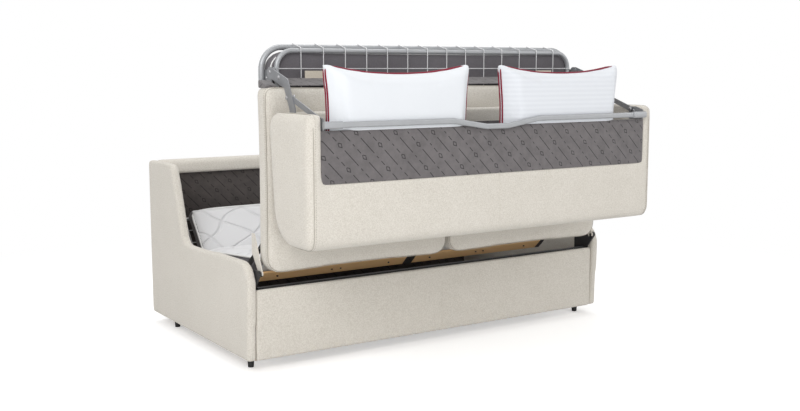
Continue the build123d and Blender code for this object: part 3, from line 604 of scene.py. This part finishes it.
# %% Dress the hard parts
HINGE_COVERED_X, HINGE_COVERED_Z = 0.88, 0.40
finishes = (
    (black_plastic, ("legs", "corner_bracket_left", "corner_bracket_right", "centre_bracket",
                     "board_end_bracket")),
    (black_coat, ("head_brackets", "middle_front_tube", "front_cross_tube", "fold_hinge_plates",
                  "middle_hinge_plates", "seat_hinge_plates", "carry_brackets")),
    # The darker copy of the grey, which is painted shade, goes on the swing arms, struts and plates.
    (grey_coat_shaded_copy, ("swing_arm_left", "swing_arm_right", "swing_struts", "hoop_plates", "bar_brackets")),
    (wire_coat, ("seat_wire_net", "foot_end_net", "foot_end_wires", "middle_wire_net", "head_wire_net")),
    (pine, ("side_rails", "base_rear_rail", "base_front_rail")),
    # The boards take the plywood whose colour is painted light.
    (plywood_painted_light, ("front_board_left", "front_board_right")),
    (cover, ("arm_left", "arm_right", "front_apron", "back_panel", "back_top_roll", "unit_rear_shell")),
    (lining, ("pocket_panel", "unit_divider", "seat_edge_lining")),
    # The back lining takes the darker copy, whose colour is painted shade.
    (shaded_base_lining, ("back_lining",)),
    (tape_cloth, ("pull_tabs",)),
)


def paint(piece, *materials):
    """Give a piece these materials and no others."""
    piece.data.materials.clear()
    for material in materials:
        piece.data.materials.append(material)
    return piece


for node in nodes.values():
    paint(node, grey_coat)
for material, names in finishes:
    for name in names:
        paint(nodes[name], material)
paint(nodes["seat_hinge_plates"], black_coat, cover)
for polygon in nodes["seat_hinge_plates"].data.polygons:
    if abs(polygon.center.x) > HINGE_COVERED_X and polygon.center.z > HINGE_COVERED_Z:
        polygon.material_index = 1
print("dressed", len(nodes), "parts")

# %% [markdown]
# Foam and down are made from the solids themselves. A copy is rebuilt from small even cubes, then blown up
# like a balloon by a cloth simulation, with a limit on how far each point may move. The skin pulls tight over
# the corners and swells in the middle, as a filled cover does.

# %% Padding by simulation
def join_doubles(piece, *more):
    """Add the meshes of other pieces to this one and join doubled points."""
    work = bmesh.new()
    work.from_mesh(piece.data)
    for other in more:
        work.from_mesh(other.data)
    bmesh.ops.remove_doubles(work, verts=work.verts, dist=1e-5)
    work.to_mesh(piece.data)
    work.free()
    return piece


def copy_of(node, name):
    """A clean copy of a solid."""
    mesh = nodes[node].data.copy()
    mesh.name = name
    mesh.materials.clear()
    return join_doubles(add_object(name, mesh))


def bake_modifiers(piece):
    """Turn the piece's modifiers into plain mesh."""
    bpy.context.view_layer.update()
    graph = bpy.context.evaluated_depsgraph_get()
    mesh = bpy.data.meshes.new_from_object(piece.evaluated_get(graph))
    piece.modifiers.clear()
    old = piece.data
    piece.data = mesh
    bpy.data.meshes.remove(old)
    return piece


def remesh(piece, size):
    """Rebuild the piece from cubes and take off their steps."""
    cubes = piece.modifiers.new("cubes", "REMESH")
    cubes.mode = "VOXEL"
    cubes.voxel_size = size
    cubes.adaptivity = 0.0
    smooth = piece.modifiers.new("soften", "SMOOTH")
    smooth.factor, smooth.iterations = 0.5, 6
    return bake_modifiers(piece)


def inflate(piece, pressure, limit, frames):
    """Blow the piece up with Cloth, then keep each point within the limit of where it was."""
    before = [v.co.copy() for v in piece.data.vertices]
    settings = piece.modifiers.new("cloth", "CLOTH").settings
    settings.quality = 5
    settings.use_pressure = True
    settings.uniform_pressure_force = pressure
    settings.tension_stiffness = settings.compression_stiffness = 12
    settings.shear_stiffness = 6
    settings.bending_stiffness = 0.6
    settings.effector_weights.gravity = 0.0
    settings.mass = 0.3
    scene = bpy.context.scene
    for number in range(1, frames + 1):
        scene.frame_set(number)
    bake_modifiers(piece)
    scene.frame_set(1)
    for vertex, old in zip(piece.data.vertices, before):
        move = vertex.co - old
        if move.length > limit:
            vertex.co = old + move * (limit / move.length)
    return piece


def soften(piece, rounds):
    smooth = piece.modifiers.new("soften", "SMOOTH")
    smooth.factor, smooth.iterations = 0.5, rounds
    return bake_modifiers(piece)


def subdivide(piece):
    fine = piece.modifiers.new("fine", "SUBSURF")
    fine.levels = fine.render_levels = 1
    return bake_modifiers(piece)


def smooth_shade(piece):
    for polygon in piece.data.polygons:
        polygon.use_smooth = True
    return piece


def soft_form(piece, voxel, rounds=2, pressure=2.0, limit=0.0, frames=14):
    """Rebuild a piece, blow it up where it has a limit, and round it."""
    remesh(piece, voxel)
    if limit:
        inflate(piece, pressure, limit, frames)
    if rounds:
        soften(piece, rounds)
    return smooth_shade(subdivide(piece))


def settle(piece, body, stands_for=()):
    """Attach a piece to the body it rides on and hide the solids it stands for."""
    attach(piece, body)
    if stands_for:
        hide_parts(*stands_for)
    return piece


print("padding helpers ready")

# %% [markdown]
# Piping is a cord sewn into a seam. It follows the outermost line of a cushion at one depth, so the line is
# read from the finished cushion: in each direction from the centre, the furthest point near that depth.

# %% Piping round a cushion
def rim_points(piece, normal, depth, count, reach):
    """Points of the outline at a depth along a normal, ordered round the piece."""
    normal = normal.normalized()
    side = REARWARD if abs(normal.x) > 0.9 else SIDEWAYS
    other = normal.cross(side)
    corners = [v.co for v in piece.data.vertices]
    centre = sum(corners, Vector()) / len(corners)
    best = [None] * count
    for point in corners:
        offset = point - centre
        if abs(offset.dot(normal) - depth) > reach:
            continue
        u, v = offset.dot(side), offset.dot(other)
        index = int((math.atan2(v, u) / math.tau + 0.5) * count) % count
        length = math.hypot(u, v)
        if best[index] is None or length > best[index][0]:
            best[index] = (length, point - normal * (offset.dot(normal) - depth))
    return [item[1] for item in best if item]


def evened(points, closed, rounds=3):
    """Points moved towards their neighbours, a few times over."""
    last = len(points) - 1
    for _ in range(rounds):
        points = [
            (points[i - 1] + points[i] * 2 + points[(i + 1) % len(points)]) / 4
            if closed or 0 < i < last else points[i] for i in range(len(points))]
    return points


def tube_along(name, points, radius, material, closed=True):
    """A round cord through points, as a mesh."""
    points = evened(points, closed)
    curve = bpy.data.curves.new(name, "CURVE")
    curve.dimensions = "3D"
    curve.bevel_depth = radius
    curve.bevel_resolution = 2
    spline = curve.splines.new("POLY")
    spline.points.add(len(points) - 1)
    for target, point in zip(spline.points, points):
        target.co = (*point, 1.0)
    spline.use_cyclic_u = closed
    holder = add_object(name + "_path", curve)
    bpy.context.view_layer.update()
    graph = bpy.context.evaluated_depsgraph_get()
    mesh = bpy.data.meshes.new_from_object(holder.evaluated_get(graph))
    bpy.data.objects.remove(holder)
    mesh.name = name
    return smooth_shade(paint(add_object(name, mesh), material))


print("piping helpers ready")

# %% [markdown]
# Rivets, screws and stitches repeat many times, so each kind comes from one Geometry Nodes tree. The first
# puts a domed head on every point of a mesh. The second walks along a line and lays short threads on it.

# %% Geometry Nodes trees
def new_repeat_tree(name, inputs):
    """A Geometry Nodes tree with the named inputs and a material."""
    tree = bpy.data.node_groups.new(name, "GeometryNodeTree")
    tree.interface.new_socket("Places", in_out="INPUT", socket_type="NodeSocketGeometry")
    for label, kind, value in inputs:
        tree.interface.new_socket(label, in_out="INPUT", socket_type=kind).default_value = value
    tree.interface.new_socket("Material", in_out="INPUT", socket_type="NodeSocketMaterial")
    tree.interface.new_socket("Result", in_out="OUTPUT", socket_type="NodeSocketGeometry")
    return tree, tree.nodes.new("NodeGroupInput"), tree.nodes.new("NodeGroupOutput")


def stretched_ball(tree, segments, rings, wide, tall):
    """A ball and the scale that makes it a dome or a thread."""
    ball = set_values(tree.nodes.new("GeometryNodeMeshUVSphere"), Segments=segments, Rings=rings, Radius=1.0)
    scale = tree.nodes.new("ShaderNodeCombineXYZ")
    for socket, value in zip(scale.inputs, (wide, wide, tall)):
        tree.links.new(value, socket)
    return ball.outputs["Mesh"], scale.outputs[0]


def spread_over(tree, source, sink, points, shape, scale, turn):
    """Put the shape on the points, make it real and give it its material."""
    spread = tree.nodes.new("GeometryNodeInstanceOnPoints")
    for label, value in (("Points", points), ("Instance", shape), ("Scale", scale), ("Rotation", turn)):
        tree.links.new(value, spread.inputs[label])
    real = tree.nodes.new("GeometryNodeRealizeInstances")
    smooth = tree.nodes.new("GeometryNodeSetShadeSmooth")
    finish = tree.nodes.new("GeometryNodeSetMaterial")
    tree.links.new(spread.outputs[0], real.inputs[0])
    tree.links.new(real.outputs[0], smooth.inputs[0])
    tree.links.new(smooth.outputs[0], finish.inputs["Geometry"])
    tree.links.new(source.outputs["Material"], finish.inputs["Material"])
    tree.links.new(finish.outputs[0], sink.inputs[0])


def build_heads():
    tree, source, sink = new_repeat_tree("domed_heads", [
        ("Head radius", "NodeSocketFloat", 0.007), ("Head height", "NodeSocketFloat", 0.003),
        ("Facing", "NodeSocketVector", (0.0, math.pi / 2, 0.0))])
    shape, scale = stretched_ball(tree, 14, 8, source.outputs["Head radius"], source.outputs["Head height"])
    turn = tree.nodes.new("FunctionNodeEulerToRotation")
    tree.links.new(source.outputs["Facing"], turn.inputs[0])
    spread_over(tree, source, sink, source.outputs["Places"], shape, scale, turn.outputs[0])
    return tree


def build_stitches():
    tree, source, sink = new_repeat_tree("stitches", [
        ("Step", "NodeSocketFloat", 0.009), ("Half length", "NodeSocketFloat", 0.0032),
        ("Half thickness", "NodeSocketFloat", 0.0009)])
    line = tree.nodes.new("GeometryNodeMeshToCurve")
    tree.links.new(source.outputs["Places"], line.inputs["Mesh"])
    even = tree.nodes.new("GeometryNodeResampleCurve")
    even.mode = "LENGTH"
    tree.links.new(line.outputs[0], even.inputs["Curve"])
    tree.links.new(source.outputs["Step"], even.inputs["Length"])
    shape, scale = stretched_ball(tree, 6, 4, source.outputs["Half thickness"], source.outputs["Half length"])
    aim = tree.nodes.new("FunctionNodeAlignRotationToVector")
    aim.axis = "Z"
    tree.links.new(tree.nodes.new("GeometryNodeInputTangent").outputs[0], aim.inputs["Vector"])
    spread_over(tree, source, sink, even.outputs[0], shape, scale, aim.outputs[0])
    return tree


def repeat(name, tree, points, edges, body, slot, **values):
    """Run a tree over points and edges, and keep the result as one plain mesh on a body."""
    mesh = bpy.data.meshes.new(name)
    mesh.from_pydata([tuple(point) for point in points], edges, [])
    piece = add_object(name, mesh)
    step = piece.modifiers.new("repeat", "NODES")
    step.node_group = tree
    for item in tree.interface.items_tree:
        label = item.name.replace(" ", "_")
        if item.in_out == "INPUT" and label in values:
            step[item.identifier] = values[label]
    return settle(bake_modifiers(piece), body)


head_tree, stitch_tree = build_heads(), build_stitches()
print("trees:", head_tree.name, stitch_tree.name)

# %% [markdown]
# Rivets hold the swing arms, their struts, the plates of the hoop and the bar, with a head on each face that
# shows. The boards are held by four flat screws each, set square to their slanted face.

# %% Rivets and screws
ARM_PINS, ARM_FACES = ((0.040, 1.200), (-0.038, 1.180), (-0.102, 1.102)), (0.8118, 0.8162)
STRUT_PINS, STRUT_FACES = ((-0.150, 1.108), (-0.332, 1.034)), (0.8078,)
HOOP_PINS, HOOP_FACES = ((0.058, 1.192), (0.092, 1.178)), (0.8008, 0.8052)
BAR_PINS, BAR_FACES = ((-0.392, 1.006), (-0.345, 1.026)), (0.8178,)
BOARD_ENDS, SCREW_SHARES = ((-0.790, -0.045), (0.005, 0.760)), (0.12, 0.48, 0.54, 0.88)
BOARD_FACE_Y, BOARD_FACE_Z, BOARD_FACING = 0.2302, 0.3363, (math.atan2(0.695, 0.719), 0.0, 0.0)


def both_sides(spots, faces):
    """The same spots on each face, left and right."""
    return [place(side * face, y, z) for y, z in spots for face in faces for side in (-1, 1)]


arm_spots = both_sides(ARM_PINS, ARM_FACES) + both_sides(STRUT_PINS, STRUT_FACES)
board_spots = [
    place(start + share * (end - start), BOARD_FACE_Y, BOARD_FACE_Z)
    for start, end in BOARD_ENDS for share in SCREW_SHARES]
heads = [
    repeat("arm_rivets", head_tree, arm_spots, [], "swing_arms", "frame_metal",
           Head_radius=0.0085, Head_height=0.0035, Material=rivet_steel),
    repeat("hoop_rivets", head_tree, both_sides(HOOP_PINS, HOOP_FACES), [], "foot_section", "frame_metal",
           Head_radius=0.0065, Head_height=0.003, Material=rivet_steel),
    repeat("bar_rivets", head_tree, both_sides(BAR_PINS, BAR_FACES), [], "back_unit", "frame_metal",
           Head_radius=0.006, Head_height=0.003, Material=rivet_steel),
    repeat("board_screws", head_tree, board_spots, [], "middle_section", "dark_metal",
           Head_radius=0.0055, Head_height=0.0018, Facing=BOARD_FACING, Material=black_coat),
]
print("heads:", sum(len(piece.data.polygons) for piece in heads), "faces")

# %% [markdown]
# The pillows swell most. Their low ends, which stand deepest in the pocket, are pressed together a little, and
# two rows of maroon piping run round the seam.

# %% Pillows
def slim_low_end(piece, reach=0.14, lift=0.012, narrow=0.22):
    """Press the pillow's low end together, as the bottom of the pocket does when the pillow is pushed down."""
    corners = [v.co for v in piece.data.vertices]
    low = min(co.z for co in corners)
    middle = sum(co.y for co in corners) / len(corners)
    for co in corners:
        part = 1.0 - (co.z - low) / reach
        if part > 0.0:
            co.y = middle + (co.y - middle) * (1.0 - narrow * part)
            co.z += lift * part


def make_pillow(node, name, material):
    body = node + "_body"
    piece = soft_form(copy_of(node, name), 0.009, rounds=3, pressure=3.0, limit=0.010, frames=20)
    slim_low_end(piece)
    settle(paint(piece, material), body, stands_for=(node,))
    for number, depth in enumerate((-0.007, 0.007)):
        points = rim_points(piece, FORWARD, depth, 150, 0.012)
        settle(tube_along(f"{name}_piping_{number}", points, 0.0034, maroon_piping), body)
    return piece


left_pillow = make_pillow("pillow_left", "left_pillow", pillow_plain)
right_pillow = make_pillow("pillow_right", "right_pillow", pillow_striped)
print("pillows:", len(left_pillow.data.polygons), "and", len(right_pillow.data.polygons), "faces")

# %% [markdown]
# The box cushions of the seat are foam in a sewn cover. They barely swell, but their edges are rounded and each
# has a seam with stitches where its panels meet. The back cushion and the cloth of the pocket lie tight, so
# they are only rounded.

# %% Box cushions
SEAM_RADIUS, SEAM_POINTS, STITCH_INSET, END_ZONE = 0.0013, 220, 0.008, 0.012


def add_seams(piece, body, slot, normal, depths, reach):
    """A thin sewn line at each depth, with a row of stitches beside it."""
    points, edges = [], []
    for number, depth in enumerate(depths):
        line = rim_points(piece, normal, depth, SEAM_POINTS, reach)
        settle(tube_along(f"{piece.name}_seam_{number}", line, SEAM_RADIUS, seam_thread), body)
        row = rim_points(piece, normal, depth - math.copysign(STITCH_INSET, depth), SEAM_POINTS, reach)
        first = len(points)
        points += row
        edges += [(first + i, first + (i + 1) % len(row)) for i in range(len(row))]
    if points:
        repeat(piece.name + "_stitches", stitch_tree, points, edges, body, slot, Material=seam_thread)


def tuck_in(piece, ends, down, back):
    """Push the ends in X out, the low end down and the whole back, so that edges hide in the neighbours."""
    corners = [v.co for v in piece.data.vertices]
    reach, low = max(abs(co.x) for co in corners), min(co.z for co in corners)
    for co in corners:
        if abs(co.x) > reach - END_ZONE:
            co.x += math.copysign(ends, co.x)
        if co.z < low + END_ZONE:
            co.z -= down
        co.y += back


def make_cushion(
        node, name, body, voxel, limit=0.0, seams=(), material=cover, slot="cover", tuck=(0.0, 0.0, 0.0)):
    piece = copy_of(node, name)
    tuck_in(piece, *tuck)
    soft_form(piece, voxel, limit=limit)
    settle(paint(piece, material), body, stands_for=(node,))
    add_seams(piece, body, slot, FORWARD, seams, voxel)
    return piece


for side in ("left", "right"):
    make_cushion(
        f"seat_cushion_{side}", f"{side}_seat_cushion", "foot_section", 0.012, limit=0.004, seams=(0.034,))
make_cushion("back_cushion", "back_cushion_pad", "back_unit", 0.012)
make_cushion(
    "pocket_panel", "pocket_panel_cloth", "back_unit", 0.006, material=lining, slot="lining",
    tuck=(0.010, 0.014, 0.0015))
print("box cushions made")

# %% [markdown]
# The walls and the rear of the back unit share one sewn cover, so their solids are fused into one skin. The
# rear reaches a little into the walls first, which closes the groove between them. A seam runs round each
# wall, and a faint one down the middle comes with the base.

# %% Cover of the back unit
UNIT_NODES = ("unit_rear_shell", "unit_side_left", "unit_side_right")
SHELL_OVERLAP = 0.034


def make_unit_cover(name, voxel):
    piece = copy_of(UNIT_NODES[0], name)
    for vertex in piece.data.vertices:
        if abs(vertex.co.x) > UNIT_INNER_X - 0.01:
            vertex.co.x += math.copysign(SHELL_OVERLAP, vertex.co.x)
    join_doubles(piece, *(nodes[side] for side in UNIT_NODES[1:]))
    soft_form(piece, voxel)
    settle(paint(piece, cover), "back_unit", stands_for=UNIT_NODES)
    middle = sum(v.co.x for v in piece.data.vertices) / len(piece.data.vertices)
    add_seams(piece, "back_unit", "cover", SIDEWAYS, (-UNIT_SEAM_X - middle, UNIT_SEAM_X - middle), 0.007)
    return piece


unit_cover = make_unit_cover("back_unit_cover", 0.012)
print("back unit cover:", len(unit_cover.data.polygons), "faces")

# %% [markdown]
# Arms, apron and top roll are boards under wadding and cloth. They keep their lines, but their edges are soft.

# %% Upholstered base
for side in ("left", "right"):
    make_cushion(f"arm_{side}", f"{side}_arm_cover", "base", 0.012)
apron = make_cushion("front_apron", "apron_cover", "base", 0.007, tuck=(0.005, 0.0, 0.0))
make_cushion("back_top_roll", "top_roll_cover", "base", 0.010)
print("apron:", len(apron.data.polygons), "faces")

# %% [markdown]
# The grey strip on the seat's edge goes on outside the swing arms, where a padded wedge covers each end. Each
# wedge is a prism with a slanted top, rebuilt as the cushions are.

# %% Ends of the edge lining
WEDGE_SECTION = ((-0.031, 1.138), (0.036, 1.138), (0.038, 1.172), (-0.031, 1.149))
WEDGE_X = (0.820, 0.870)


def lining_end(name, side):
    spots = [tuple(place(side * x, y, z)) for x in WEDGE_X for y, z in WEDGE_SECTION]
    faces = [(0, 1, 2, 3), (7, 6, 5, 4), (0, 4, 5, 1), (1, 5, 6, 2), (2, 6, 7, 3), (3, 7, 4, 0)]
    mesh = bpy.data.meshes.new(name)
    mesh.from_pydata(spots, [], faces)
    work = bmesh.new()
    work.from_mesh(mesh)
    bmesh.ops.recalc_face_normals(work, faces=work.faces)
    work.to_mesh(mesh)
    work.free()
    piece = soft_form(add_object(name, mesh), 0.004, rounds=0)
    return settle(paint(piece, lining), "foot_section")


lining_ends = [lining_end("edge_lining_left", -1), lining_end("edge_lining_right", 1)]
print("edge lining ends:", [piece.name for piece in lining_ends])

# %% [markdown]
# Cloth this wide is pieced together in the middle. The seam is hardly seen: a thin raised line of the same
# cloth down the front of the apron and of the back unit.

# %% Centre seams
CENTRE_X = 0.004


def face_line(piece, x, low, high, count=40, beside=0.008, level=0.009):
    """Points down the front face of a piece at one X."""
    near = [v.co for v in piece.data.vertices if abs(v.co.x - x) < beside]
    line = []
    for index in range(count):
        z = low + (high - low) * index / (count - 1)
        depths = [co.y for co in near if abs(co.z - z) < level]
        if depths:
            line.append(Vector((x, min(depths), z)))
    return line


for name, piece, body, low, high in (
        ("apron_centre_seam", apron, "base", 0.075, 0.272),
        ("unit_centre_seam", unit_cover, "back_unit", 0.60, 0.795)):
    line = face_line(piece, CENTRE_X, low, high)
    settle(tube_along(name, line, 0.0012, cover, closed=False), body)
print("centre seams made")

# %% [markdown]
# The mattress is in three sections with a white quilted top, a charcoal band round the sides and white piping
# on the band's upper edge. The foot section is charcoal underneath too, and has piping along both edges.

# %% Mattress sections
WHITE_FACING = 0.55


def make_mattress(node, name, body, normal, depths, dark_under=False):
    piece = soft_form(copy_of(node, name), 0.012, limit=0.004, frames=12)
    paint(piece, ticking, band_cloth)
    for polygon in piece.data.polygons:
        facing = polygon.normal.dot(normal)
        white = facing > WHITE_FACING or (facing < -WHITE_FACING and not dark_under)
        polygon.material_index = 0 if white else 1
    settle(piece, body, stands_for=(node,))
    for number, depth in enumerate(depths):
        points = rim_points(piece, normal, depth, 240, 0.010)
        settle(tube_along(f"{name}_piping_{number}", points, 0.0045, white_piping), body)
    return piece


def tilted(degrees):
    """The direction square to a mattress section that leans by this angle."""
    angle = math.radians(degrees)
    return Vector((0, -math.sin(angle), math.cos(angle)))


make_mattress("head_mattress", "head_mattress_pad", "head_section", tilted(52), (0.026,))
make_mattress("middle_mattress", "middle_mattress_pad", "middle_section", tilted(-5), (0.028,))
make_mattress("foot_mattress", "foot_mattress_pad", "foot_section", REARWARD, (-0.026, 0.026), dark_under=True)
print("mattress sections made")
